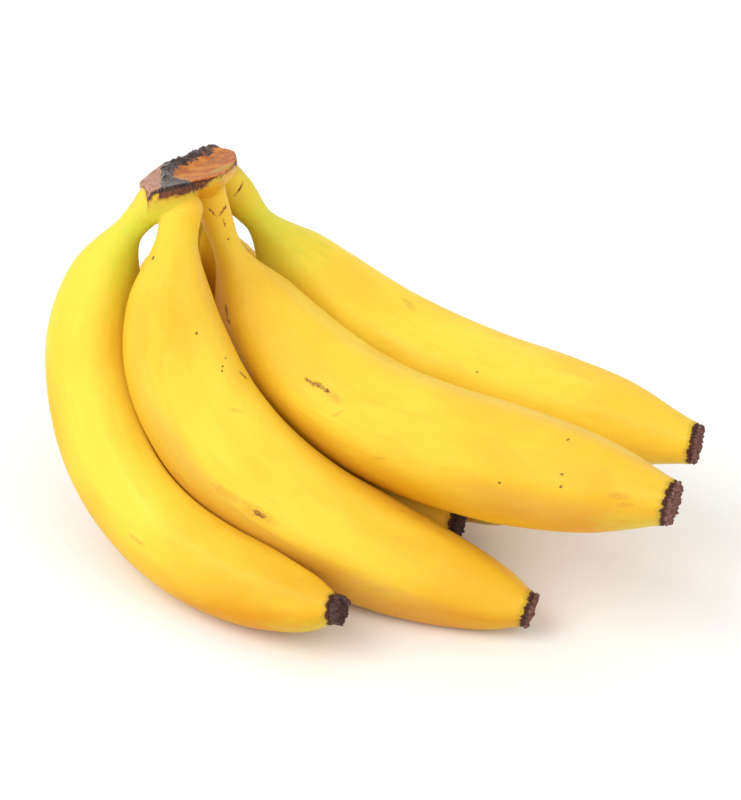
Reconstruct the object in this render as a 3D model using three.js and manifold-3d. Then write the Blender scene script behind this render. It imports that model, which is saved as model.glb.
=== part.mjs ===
// A bunch of six ripe bananas that stands on the bellies of four of its fruits, with the cut crown raised.
// Millimetres, +Z up. X runs to the right, along the fruits' ends, and Y runs away from the front fruit.
// The origin is on the table, under the middle of the bunch's box.

import * as THREE from "three";
import Module from "manifold-3d";
import { ConvexGeometry } from "three/addons/geometries/ConvexGeometry.js";
import { mergeVertices } from "three/addons/utils/BufferGeometryUtils.js";

// Each fruit: where its neck leaves the crown, how the neck leans from straight down and how the fruit bends.
// neck: x, y, z of the neck's top. lean: degrees towards +X and towards +Y. heading: the way the fruit bends,
// in degrees from +X towards +Y. length: along the bend. width: across the thickest place.
// bend: degrees in all, most of it at bendAt, over bendSpread, as shares of the length.
// neckBend: degrees that the neck bends the other way. neckShare: half width of the neck against the body's.
// ridgeTurn: where one of the ridges lies, in degrees round the fruit from the inside of its bend.
// Where two fruits press on one another, the one further down this list gives way.
const fruits = [
  { name: "banana_front", neck: [-57.5, 58.5, 118.5], lean: [-15, -6.5], heading: -20.5,
    length: 195.5, width: 38.5, bend: 106, bendAt: 0.255, bendSpread: 0.41, neckBend: 11.5,
    neckShare: 0.32, ridgeTurn: 88 },
  { name: "banana_middle", neck: [-49.5, 80.5, 104.6], lean: [12.5, 0], heading: -40.5,
    length: 208.5, width: 39, bend: 101.5, bendAt: 0.205, bendSpread: 0.295, neckBend: 8.5,
    neckShare: 0.25, ridgeTurn: 66 },
  { name: "banana_right", neck: [-44, 101.5, 101], lean: [32.5, 5.5], heading: -36.5,
    length: 197, width: 36.5, bend: 94, bendAt: 0.28, bendSpread: 0.29, neckBend: 16.5,
    neckShare: 0.27, ridgeTurn: 20 },
  { name: "banana_left", neck: [-67.5, 63, 116], lean: [-41.5, 21], heading: -39.5,
    length: 196, width: 33, bend: 138, bendAt: 0.405, bendSpread: 0.49, neckBend: -9.5,
    neckShare: 0.29, ridgeTurn: 50 },
  { name: "banana_under_front", neck: [-57.5, 97.5, 99.2], lean: [-20.5, 5], heading: -32.5,
    length: 188.5, width: 31.5, bend: 121, bendAt: 0.35, bendSpread: 0.23, neckBend: 9,
    neckShare: 0.3, ridgeTurn: 36 },
  { name: "banana_under_right", neck: [-52, 110.5, 99.3], lean: [3.5, 13.5], heading: -44.5,
    length: 189, width: 31.5, bend: 112.5, bendAt: 0.35, bendSpread: 0.37, neckBend: 4.5,
    neckShare: 0.3, ridgeTurn: 30 },
];

// A fruit's half width along its length past the neck, both as shares: a full body and a tapered end.
const neckEnd = 0.07;
const bodyHalfWidths = [
  [0.165, 0.72], [0.23, 0.88], [0.38, 1],
  [0.59, 0.99], [0.73, 0.92], [0.863, 0.72], [0.95, 0.47], [1, 0.32],
];
const neckBendAt = 0.1;
const neckBendSpread = 0.05;
const ridges = 5;
const ridgeDepth = 0.04;
const fruitSides = 20;
const ringsPerStretch = 3;
const centrelineSteps = 120;

// The dried flower end on each fruit, and the gap that separate solids keep.
const flowerEnd = { length: 4.5, sides: 12 };
const gap = 0.3;

// The cut top of the crown: an oval that falls away to the back and rises to the right, in degrees.
const cutTop = {
  middle: [-57, 84, 119], halfLength: 26, halfWidth: 14, points: 20,
  turn: 17, fall: 13, roll: 11,
};
const crownGrip = 1.5;
const socketDepth = 14;

// How far the soft fruits press on to the table, which gives each one that it stands on a small flat.
const pressed = 1.2;

// The middle of the bunch's box over the table, which becomes the origin.
const boxMiddle = [0.2, 47.5];

const peel = { color: 0xf4cf3c, roughness: 0.5, metalness: 0 };
const cutWood = { color: 0x8a5a35, roughness: 0.6, metalness: 0 };
const driedFlower = { color: 0x4d3326, roughness: 0.9, metalness: 0 };

const wasm = await Module();
wasm.setup();

// The centreline lies in one plane: it starts along the neck and turns towards the heading.
function bendShares(at, spread) {
  const shares = [0];
  for (let i = 1; i <= centrelineSteps; i += 1) {
    const middle = (i - 0.5) / centrelineSteps;
    shares.push(shares[i - 1] + Math.exp(-(((middle - at) / spread) ** 2)));
  }
  return shares.map((share) => share / shares[centrelineSteps]);
}

function centreline(fruit) {
  const lean = fruit.lean.map((angle) => Math.tan(THREE.MathUtils.degToRad(angle)));
  const start = new THREE.Vector3(lean[0], lean[1], -1).normalize();
  const heading = THREE.MathUtils.degToRad(fruit.heading);
  const towards = new THREE.Vector3(Math.cos(heading), Math.sin(heading), 0);
  towards.addScaledVector(start, -towards.dot(start)).normalize();
  const body = bendShares(fruit.bendAt, fruit.bendSpread);
  const neck = bendShares(neckBendAt, neckBendSpread);
  const side = new THREE.Vector3().crossVectors(start, towards);
  const stations = [];
  const point = new THREE.Vector3(...fruit.neck);
  for (let i = 0; i <= centrelineSteps; i += 1) {
    const angle = THREE.MathUtils.degToRad(fruit.bend * body[i] - fruit.neckBend * neck[i]);
    const along = start.clone().multiplyScalar(Math.cos(angle)).addScaledVector(towards, Math.sin(angle));
    if (i > 0) point.addScaledVector(along, fruit.length / centrelineSteps);
    const inside = new THREE.Vector3().crossVectors(side, along);
    stations.push({ point: point.clone(), along, inside, side });
  }
  return stations;
}

// The place on a fruit at a distance down its centreline; before its start it runs straight on.
function stationAt(stations, length, distance) {
  const step = THREE.MathUtils.clamp((distance / length) * centrelineSteps, 0, centrelineSteps);
  const low = Math.min(Math.floor(step), centrelineSteps - 1);
  const part = step - low;
  const point = stations[low].point.clone().lerp(stations[low + 1].point, part);
  const along = stations[low].along.clone().lerp(stations[low + 1].along, part).normalize();
  const inside = stations[low].inside.clone().lerp(stations[low + 1].inside, part).normalize();
  point.addScaledVector(along, distance - (step / centrelineSteps) * length);
  return { point, along, inside, side: stations[low].side };
}

// Keeps only the positions, merges equal ones and drops triangles that closed up at the axis.
function closedSolid(geometry) {
  const bare = geometry.clone();
  bare.deleteAttribute("normal");
  bare.deleteAttribute("uv");
  const merged = mergeVertices(bare, 1e-4);
  const corners = merged.getIndex().array;
  const kept = [];
  for (let i = 0; i < corners.length; i += 3) {
    const [a, b, c] = [corners[i], corners[i + 1], corners[i + 2]];
    if (a !== b && b !== c && c !== a) kept.push(a, b, c);
  }
  merged.setIndex(kept);
  return merged;
}

// Turns a profile of [half width, distance] points round the axis and lays it along a fruit's centreline.
function solidAlong(fruit, profile, sides, ridgeShare) {
  const stations = centreline(fruit);
  const points = profile.map(([halfWidth, distance]) => new THREE.Vector2(halfWidth, distance));
  const geometry = closedSolid(new THREE.LatheGeometry(points, sides));
  const position = geometry.getAttribute("position");
  for (let i = 0; i < position.count; i += 1) {
    const round = Math.atan2(position.getX(i), position.getZ(i));
    const halfWidth = Math.hypot(position.getX(i), position.getZ(i));
    const offRidge = ridges * (round - THREE.MathUtils.degToRad(fruit.ridgeTurn));
    const dip = (ridgeShare * ridgeDepth * (1 - Math.cos(offRidge))) / 2;
    const place = stationAt(stations, fruit.length, position.getY(i));
    const corner = place.point.clone();
    corner.addScaledVector(place.inside, Math.cos(round) * halfWidth * (1 - dip));
    corner.addScaledVector(place.side, Math.sin(round) * halfWidth * (1 - dip));
    position.setXYZ(i, corner.x, corner.y, Math.max(corner.z, pressed));
  }
  return geometry;
}

// A fruit's half widths from its neck's top to its end, as shares.
function halfWidthsOf(fruit) {
  return [[0, fruit.neckShare], [neckEnd, fruit.neckShare], ...bodyHalfWidths];
}

function halfWidthAt(fruit, share) {
  const halfWidths = halfWidthsOf(fruit);
  const next = Math.max(1, halfWidths.findIndex(([at]) => at >= share));
  const [lowAt, low] = halfWidths[next - 1];
  const [highAt, high] = halfWidths[next];
  return (THREE.MathUtils.mapLinear(share, lowAt, highAt, low, high) * fruit.width) / 2;
}

// A fruit's body, grown all round by the margin.
function fruitBody(fruit, margin) {
  const end = fruit.length - flowerEnd.length - gap;
  const thickest = fruit.width / 2;
  const shares = halfWidthsOf(fruit);
  const knots = shares.map(([at, share]) => new THREE.Vector2(share * thickest, at * fruit.length));
  const curve = new THREE.SplineCurve(knots).getPoints(ringsPerStretch * (knots.length - 1));
  const rings = curve.filter((ring) => ring.y < end - 1).map((ring) => [ring.x + margin, ring.y]);
  const endHalfWidth = halfWidthAt(fruit, end / fruit.length) + margin;
  const profile = [[0, 0], ...rings, [endHalfWidth, end], [0, end]];
  return solidAlong(fruit, profile, fruitSides, 1);
}

function flowerEndBody(fruit) {
  const start = fruit.length - flowerEnd.length;
  const halfWidth = halfWidthAt(fruit, 1);
  const profile = [
    [0, start], [halfWidth * 1.05, start], [halfWidth, start + flowerEnd.length * 0.6],
    [halfWidth * 0.75, fruit.length], [0, fruit.length],
  ];
  return solidAlong(fruit, profile, flowerEnd.sides, 0);
}

function toManifold(geometry) {
  const mesh = new wasm.Mesh({
    numProp: 3,
    vertProperties: new Float32Array(geometry.getAttribute("position").array),
    triVerts: new Uint32Array(geometry.getIndex().array),
  });
  return new wasm.Manifold(mesh);
}

function fromManifold(solid) {
  const mesh = solid.getMesh();
  const geometry = new THREE.BufferGeometry();
  geometry.setAttribute("position", new THREE.BufferAttribute(new Float32Array(mesh.vertProperties), 3));
  geometry.setIndex(Array.from(mesh.triVerts));
  return geometry;
}

// A fruit's body, less the places where the fruits before it in the list press on it.
function pressedBody(fruit) {
  let solid = toManifold(fruitBody(fruit, 0));
  for (const neighbour of fruits.slice(0, fruits.indexOf(fruit))) {
    solid = solid.subtract(toManifold(fruitBody(neighbour, gap)));
  }
  return fromManifold(solid);
}

// A ring of points round a place, across its direction.
function ringPoints(place, halfWidth, count) {
  const ring = [];
  for (let i = 0; i < count; i += 1) {
    const round = (i / count) * 2 * Math.PI;
    const corner = place.point.clone().addScaledVector(place.inside, Math.cos(round) * halfWidth);
    ring.push(corner.addScaledVector(place.side, Math.sin(round) * halfWidth));
  }
  return ring;
}

// The crown is the hull of the cut top and the neck tops, less a socket for each neck.
function crownBody() {
  const angles = [cutTop.fall, cutTop.roll, cutTop.turn].map((angle) => THREE.MathUtils.degToRad(-angle));
  const tilt = new THREE.Euler(...angles, "ZXY");
  const points = [];
  for (let i = 0; i < cutTop.points; i += 1) {
    const round = (i / cutTop.points) * 2 * Math.PI;
    const across = cutTop.halfWidth * Math.cos(round);
    const rim = new THREE.Vector3(across, cutTop.halfLength * Math.sin(round), 0);
    points.push(rim.applyEuler(tilt).add(new THREE.Vector3(...cutTop.middle)));
  }
  for (const fruit of fruits) {
    const neckTop = stationAt(centreline(fruit), fruit.length, crownGrip);
    points.push(...ringPoints(neckTop, halfWidthAt(fruit, 0) + 1, 8));
  }
  let solid = toManifold(closedSolid(new ConvexGeometry(points)));
  for (const fruit of fruits) {
    const halfWidth = halfWidthAt(fruit, 0) + gap;
    const profile = [[0, -gap], [halfWidth, -gap], [halfWidth, socketDepth], [0, socketDepth]];
    solid = solid.subtract(toManifold(solidAlong(fruit, profile, fruitSides, 0)));
  }
  return fromManifold(solid);
}

function addPart(group, name, geometry, look) {
  geometry.computeVertexNormals();
  const mesh = new THREE.Mesh(geometry, new THREE.MeshStandardMaterial(look));
  mesh.name = name;
  group.add(mesh);
}

const bunch = new THREE.Group();
bunch.position.set(-boxMiddle[0], -boxMiddle[1], -pressed);
addPart(bunch, "crown", crownBody(), cutWood);
for (const fruit of fruits) {
  addPart(bunch, fruit.name, pressedBody(fruit), peel);
  addPart(bunch, fruit.name.replace("banana", "flower_end"), flowerEndBody(fruit), driedFlower);
}

export default bunch;
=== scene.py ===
import math
import bpy
import numpy as np
from mathutils import Matrix, Vector


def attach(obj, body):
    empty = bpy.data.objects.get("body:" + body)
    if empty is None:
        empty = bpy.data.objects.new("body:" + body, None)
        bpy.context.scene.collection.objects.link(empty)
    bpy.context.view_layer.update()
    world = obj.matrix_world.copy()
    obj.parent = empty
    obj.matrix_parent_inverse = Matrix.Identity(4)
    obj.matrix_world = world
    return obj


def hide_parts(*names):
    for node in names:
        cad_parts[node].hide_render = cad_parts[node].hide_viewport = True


# A bunch of six ripe bananas with its cut crown raised, on a plain pale floor.
# Lengths are millimetres in the tables and functions, and become metres where a mesh is made.

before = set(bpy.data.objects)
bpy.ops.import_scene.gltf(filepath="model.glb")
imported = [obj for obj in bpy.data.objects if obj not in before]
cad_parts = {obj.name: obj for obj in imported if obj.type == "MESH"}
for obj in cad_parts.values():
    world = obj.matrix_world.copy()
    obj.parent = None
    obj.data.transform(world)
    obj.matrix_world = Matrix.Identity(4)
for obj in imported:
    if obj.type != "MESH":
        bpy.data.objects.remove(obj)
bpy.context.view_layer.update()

MM = 0.001

# Each fruit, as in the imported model: its neck's top and lean, its bend's heading, amount, place and spread, a
# bend back in its neck, where the neck starts to widen, the neck's and the end's share of the full width, and
# where one ridge lies, as degrees from the inside of the bend.
FRUITS = [
    dict(name="front", neck=(-57.5, 58.5, 118.5), lean=(-15, -6.5), heading=-20.5, length=195.5, width=38.5,
         bend=106, bend_at=0.255, bend_spread=0.41, neck_bend=11.5, neck_end=0.05, neck_share=0.32,
         ridge_turn=88, end_share=0.285),
    dict(name="middle", neck=(-49.5, 80.5, 104.6), lean=(12.5, 0), heading=-40.5, length=208.5, width=39,
         bend=101.5, bend_at=0.205, bend_spread=0.295, neck_bend=8.5, neck_end=0.07, neck_share=0.25,
         ridge_turn=66, end_share=0.335),
    dict(name="right", neck=(-44, 101.5, 101), lean=(32.5, 5.5), heading=-36.5, length=197, width=36.5,
         bend=94, bend_at=0.28, bend_spread=0.29, neck_bend=16.5, neck_end=0.07, neck_share=0.27,
         ridge_turn=20, end_share=0.345),
    dict(name="left", neck=(-67.5, 63, 116), lean=(-41.5, 21), heading=-39.5, length=196, width=33,
         bend=138, bend_at=0.405, bend_spread=0.49, neck_bend=-9.5, neck_end=0.07, neck_share=0.29,
         ridge_turn=50, end_share=0.27),
    dict(name="under_front", neck=(-57.5, 97.5, 99.2), lean=(-20.5, 5), heading=-32.5, length=188.5,
         width=31.5, bend=121, bend_at=0.35, bend_spread=0.23, neck_bend=9, neck_end=0.07, neck_share=0.3,
         ridge_turn=36, end_share=0.25),
    dict(name="under_right", neck=(-52, 110.5, 99.3), lean=(3.5, 13.5), heading=-44.5, length=189,
         width=31.5, bend=112.5, bend_at=0.35, bend_spread=0.37, neck_bend=4.5, neck_end=0.1, neck_share=0.3,
         ridge_turn=30, end_share=0.25),
]
# Width down a fruit between its neck and its end: shares of the length and of the full width.
BODY_WIDTHS = [
    (0.165, 0.72), (0.23, 0.88), (0.38, 1), (0.59, 0.99), (0.73, 0.92), (0.863, 0.72), (0.95, 0.46),
]
END_FLARE_AT = 0.98
END_FLARE = 0.035
NECK_BEND_AT = 0.1
NECK_BEND_SPREAD = 0.05
# How far the hidden fruits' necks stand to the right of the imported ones, and where down a fruit that fades.
SWAY = {"under_right": -4.2, "under_front": 1.6}
SWAY_FADE = (15, 75)
# Ridges: number, how far the faces between them sink, crests, and the shares of the length where they start
# and soften.
RIDGES = 5
RIDGE_DEPTH = 0.045
CREST_HEIGHT = 0.012
CREST_SPREAD = 11
RIDGE_START = (0.03, 0.2)
RIDGE_FADE = (0.8, 1)
RIDGE_LOSS = 0.45
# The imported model's gap between fruits, how deep the bunch is pressed on the floor, and its box's middle.
GAP = 0.3
PRESSED = 1.2
BOX_MIDDLE = (0.2, 47.5)
# How finely a fruit is drawn: steps of its line, and its peel's rings and sides.
STEPS = 120
FRUIT_RINGS = 250
FRUIT_SIDES = 120
# The peel: its start, its lumps as height, cells and shift of seed, its end's rounding and its slant's reach.
PEEL_START = 0.5
LUMPS = [(0.22, (14, 14, 24), 0), (0.06, (4, 4, 12), 9)]
PEEL_SEED = 3
END_ROUNDING = 0.08
END_ROUNDING_REACH = 0.6
SLANT_REACH = 14
# Where fruits press: a neighbour's first place and number of places, how near a point has to be and how
# softly it is pushed, in square millimetres; the same for the floor.
NEIGHBOUR_START = 4
NEIGHBOUR_PLACES = 400
PRESS_NEAR = 3
PRESS_SOFTNESS = 0.3
FLOOR_NEAR = 2
FLOOR_SOFTNESS = 0.02
SKIM = 0.02

# The cut top of the crown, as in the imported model, and how finely the crown is drawn.
CUT_MIDDLE = (-57, 84, 119)
CUT_TURN = 17
CUT_FALL = 13
CUT_ROLL = 11
CROWN_STEP = 0.5
CROWN_LOW = (29, 37, 42)
CROWN_HIGH = (29, 39, 10)

# The rim of the cut face about a middle of its own: degrees round and reach.
RIM_MIDDLE = (1.5, 3)
RIM_REACH = [
    (-168, 15), (-151, 16.8), (-130, 21.3), (-113, 23.1), (-96, 22.8), (-79, 24), (-69.5, 25.6),
    (-58, 24.6), (-43, 19.4), (-13, 13.6), (20, 12.4), (57, 15), (88, 24.2), (98, 27.6), (108, 26.4),
    (124, 20.4), (153, 15.6),
]
# The torn ridge beside the cut face, from front to back: place along it, place across and height.
TORN_RIDGE = [
    (-24, 7, 0.3), (-21, 3.5, 0.4), (-18, 0.5, 0.8), (-16, -1.6, 1.2), (-10, -4.6, 1.9),
    (-2, -7.2, 2.4), (6, -7.4, 2.7), (14, -5.6, 2.5), (22, -4.2, 2.1), (30, -3.6, 1.2),
]
RIDGE_SPREAD = 2.0
DISH_DEPTH = 1.8
CUT_CELLS = (2.0, 2.6)
FINE_CELLS = 2.7
# The slanted facet where the crown tore along its left: a point on its edge, the edge's turn and its slope,
# how much the edge of its hanging flap leans, how far out the flap reaches and how far down.
FACET_EDGE = (-9, -1.5)
FACET_TURN = 21
FACET_SLOPE = 0.22
FLAP_TILT = 0.8
FLAP_REACH = 2.3
FLAP_DEPTH = 6.2
FLAP_BACK = (-33, -27)
FLAP_SIDE = (2.5, 6.5)
FAR_INSIDE = 20
# The dried band under the rim: its depth, how much less it is on the right and where that change lies.
BAND_DEPTH = 2.9
BAND_LESS = 2.7
BAND_RIGHT = (10, 16.5)
# The core under the cut: its depth, and how far its wall draws in between which depths.
CORE_DEPTH = 8
WALL_DRAWN = 5.5
WALL_DEPTHS = (2.8, 7.8)
WRINKLE_CELLS = (2.4, 2.4, 6)
# Patches of other colour on the cut face: place on the cut and reach.
OCHRE_PLACE = (12, -3, 0)
OCHRE_REACH = (4.5, 7, 20)
BROWN_PLACE = (6, 17, 0)
BROWN_REACH = (9, 14, 20)
# How softly the crown's parts join: wall and floor of the core, necks, core with necks, and the cut's edge.
JOIN_FLOOR = 2.5
JOIN_NECKS = 1.0
JOIN_CORE = 2.6
JOIN_CUT = 0.5
# Where each fruit's crown wrap starts down its line, and how much wider than its neck the wrap is there and
# at the places in NECK_PLACES.
NECK_START = {"front": 1.5, "middle": -9, "right": -9, "left": -9, "under_front": -8, "under_right": -8}
NECK_PLACES = (0, 4, 8, 11, 14)
NECK_WRAP = (0.25, 0.25, 0.25, 0.2, 0.1, -0.35)
WIDER_WRAPS = {"left": (3.0, 1.1, 0.35, 0.2, 0.1, -0.35), "right": (0.9, 1.4, 1.1, 0.6, 0.2, -0.35)}

# The camera: how far it looks down, how far off it stands, what it looks at and its lens.
CAMERA_DOWN = 32
CAMERA_DISTANCE = 750
CAMERA_TARGET = (-0.2, -9.6, 59.5)
CAMERA_LENS = 108
# Soft lamps: name, place and size in metres, watts and colour. Both point at the middle of the bunch.
LAMPS = [
    ("key", (-0.75, -0.55, 1.1), 1.0, 8, (1, 0.99, 0.97)),
    ("fill", (0.7, -1.0, 0.7), 1.2, 3, (1, 1, 1)),
]
LAMP_TARGET = (0, 0, 0.05)
WORLD_STRENGTH = 0.92
FLOOR_REACH = 2.5


def ease(low, high, value):
    """From 0 at low to 1 at high, level at both."""
    share = np.clip((value - low) / (high - low), 0, 1)
    return share * share * (3 - 2 * share)


def curve_through(knots, at):
    """A smooth curve through the knots, with each knot's slope taken from its neighbours."""
    x, y = np.array(knots, float).T
    slope = np.gradient(y, x)
    place = np.clip(np.searchsorted(x, at, side="right") - 1, 0, len(x) - 2)
    width = x[place + 1] - x[place]
    t = (at - x[place]) / width
    return ((2 * t**3 - 3 * t**2 + 1) * y[place] + (t**3 - 2 * t**2 + t) * width * slope[place]
            + (3 * t**2 - 2 * t**3) * y[place + 1] + (t**3 - t**2) * width * slope[place + 1])


def lattice_noise(points, seed):
    """Smooth noise between -1 and 1 at points given in noise cells."""
    cell = np.floor(points).astype(np.int64)
    part = points - cell
    part = part * part * (3 - 2 * part)
    total = 0
    for corner in range(8):
        offset = np.array([corner & 1, corner >> 1 & 1, corner >> 2 & 1])
        x, y, z = np.moveaxis(cell + offset, -1, 0)
        mixed = (x * 73856093 ^ y * 19349663 ^ z * 83492791 ^ seed * 2654435761) & 0x7FFFFFFF
        mixed = (mixed * 1103515245 + 12345 ^ mixed >> 13) & 0x7FFFFFFF
        share = np.where(offset == 1, part, 1 - part).prod(-1)
        total = total + share * (mixed % 65536 / 32768 - 1)
    return total


def unit(vectors):
    """The same directions, each of length 1."""
    return vectors / np.linalg.norm(vectors, axis=-1, keepdims=True)


def bend_shares(at, spread):
    """The share of a bend that has been made at each step of the line."""
    middles = (np.arange(STEPS) + 0.5) / STEPS
    shares = np.concatenate([[0], np.cumsum(np.exp(-((middles - at) / spread) ** 2))])
    return shares / shares[-1]


def centreline(fruit):
    """Points, directions and inward directions down the fruit's middle, and its sideways direction."""
    lean = np.tan(np.radians(fruit["lean"]))
    start = unit(np.array([lean[0], lean[1], -1]))
    heading = math.radians(fruit["heading"])
    towards = np.array([math.cos(heading), math.sin(heading), 0])
    towards = unit(towards - start * (towards @ start))
    angle = np.radians(fruit["bend"] * bend_shares(fruit["bend_at"], fruit["bend_spread"])
                       - fruit["neck_bend"] * bend_shares(NECK_BEND_AT, NECK_BEND_SPREAD))
    along = np.outer(np.cos(angle), start) + np.outer(np.sin(angle), towards)
    inside = np.outer(-np.sin(angle), start) + np.outer(np.cos(angle), towards)
    points = np.zeros((STEPS + 1, 3))
    points[0] = fruit["neck"]
    points[1:] = points[0] + np.cumsum(along[1:], axis=0) * fruit["length"] / STEPS
    points -= np.array([*BOX_MIDDLE, PRESSED])
    far = np.linspace(0, fruit["length"], STEPS + 1)
    points[:, 0] += SWAY.get(fruit["name"], 0) * (1 - ease(*SWAY_FADE, far))
    return points, along, inside, np.cross(start, towards)


def stations(fruit, distance):
    """Places at these distances down the fruit; outside its length the line runs straight on."""
    points, along, inside, side = centreline(fruit)
    at = np.clip(distance / fruit["length"], 0, 1)
    shares = np.linspace(0, 1, STEPS + 1)

    def between(values):
        return np.stack([np.interp(at, shares, values[:, i]) for i in range(3)], -1)

    direction, inward = unit(between(along)), unit(between(inside))
    place = between(points) + direction * (distance - at * fruit["length"])[:, None]
    return place, direction, inward, np.broadcast_to(side, place.shape)


def half_width(fruit, distance):
    """A fruit's half width at these distances down it, before its ridges."""
    neck = [(0, fruit["neck_share"]), (fruit["neck_end"], fruit["neck_share"])]
    end = [(END_FLARE_AT, fruit["end_share"] + END_FLARE), (1, fruit["end_share"])]
    knots = neck + BODY_WIDTHS + end
    return curve_through(knots, np.clip(distance / fruit["length"], 0, 1)) * fruit["width"] / 2


def ridge_shape(fruit, round_angle, distance):
    """The half width's share at each angle: flat faces between soft ridges."""
    turn = np.radians(round_angle - fruit["ridge_turn"])
    face = RIDGE_DEPTH * (1 - np.cos(RIDGES * turn)) / 2
    off = np.degrees(np.abs((turn + math.pi / RIDGES) % (2 * math.pi / RIDGES) - math.pi / RIDGES))
    crest = CREST_HEIGHT * np.exp(-(off / CREST_SPREAD) ** 2)
    share = distance / fruit["length"]
    strength = ease(*RIDGE_START, share) * (1 - RIDGE_LOSS * ease(*RIDGE_FADE, share))
    return 1 - (face - crest) * strength


def tube_faces(rings, sides):
    """Quads between rings of points, and one closing face at each end."""
    ring = np.arange(rings - 1)[:, None] * sides
    here = np.arange(sides)[None]
    there = (here + 1) % sides
    quads = np.stack([ring + here, ring + there, ring + sides + there, ring + sides + here], -1)
    faces = quads.reshape(-1, 4).tolist()
    faces.append(list(range(sides))[::-1])
    faces.append(list(range((rings - 1) * sides, rings * sides)))
    return faces


def turns(sides):
    return np.arange(sides) * 360 / sides


def straightened(radius, distance):
    """Places over a tube as if it were straight; radius is a ring-by-side table."""
    angle = np.radians(turns(radius.shape[1]))
    far = np.broadcast_to(distance[:, None], radius.shape)
    return np.stack([radius * np.cos(angle), radius * np.sin(angle), far], -1)


def tube(fruit, distance, radius):
    """Rings of points round the fruit's line; radius is a ring-by-side table."""
    place, _, inward, side = stations(fruit, distance)
    angle = np.radians(turns(radius.shape[1]))
    out = np.cos(angle)[None, :, None] * inward[:, None] + np.sin(angle)[None, :, None] * side[:, None]
    return place[:, None] + out * radius[..., None]


def end_slant(fruit, distance, radius, share):
    """Moves along the fruit that slant its end face, by each ring's share."""
    ends = DRIED_ENDS[fruit["name"]]
    direction = stations(fruit, distance)[1]
    angle = turns(radius.shape[1])
    ahead = ends["slant"] * radius * np.cos(np.radians(angle - ends["slant_turn"]))[None]
    return direction[:, None] * (ahead * share[:, None])[..., None]


def push_clear(points, neighbour):
    """Moves points that a neighbour presses on out to its surface."""
    distance = np.linspace(NEIGHBOUR_START, neighbour["length"], NEIGHBOUR_PLACES)
    place, _, inward, side = stations(neighbour, distance)
    low = place.min(0) - neighbour["width"]
    high = place.max(0) + neighbour["width"]
    near = np.all((points > low) & (points < high), axis=1)
    moved = points.copy()
    if not near.any():
        return moved
    local = points[near]
    apart = np.linalg.norm(local[:, None] - place[None], axis=2)
    closest = apart.argmin(1)
    offset = local - place[closest]
    inward_part = (offset * inward[closest]).sum(1)
    side_part = (offset * side[closest]).sum(1)
    angle = np.degrees(np.arctan2(side_part, inward_part))
    at = distance[closest]
    surface = half_width(neighbour, at) * ridge_shape(neighbour, angle, at) + GAP
    depth = surface - apart.min(1)
    lift = 0.5 * (depth + np.sqrt(depth**2 + PRESS_SOFTNESS)) - SKIM
    lift = np.where(depth > -PRESS_NEAR, np.maximum(lift, 0), 0)
    moved[near] = local + unit(offset) * lift[:, None]
    return moved


def make_mesh(name, points, faces, attributes, slot, material, *nodes):
    """Makes a piece from points in millimetres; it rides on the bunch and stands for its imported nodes."""
    mesh = bpy.data.meshes.new(name)
    mesh.from_pydata((points * MM).tolist(), [], faces)
    mesh.validate()
    mesh.polygons.foreach_set("use_smooth", [True] * len(mesh.polygons))
    for key, values in attributes.items():
        kind, field = ("FLOAT_VECTOR", "vector") if values.ndim == 2 else ("FLOAT", "value")
        layer = mesh.attributes.new(key, kind, "POINT")
        layer.data.foreach_set(field, values.astype(np.float32).ravel())
    mesh.materials.append(material)
    mesh.update()
    piece = bpy.data.objects.new(name, mesh)
    bpy.context.scene.collection.objects.link(piece)
    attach(piece, "root")
    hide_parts(*nodes)


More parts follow.
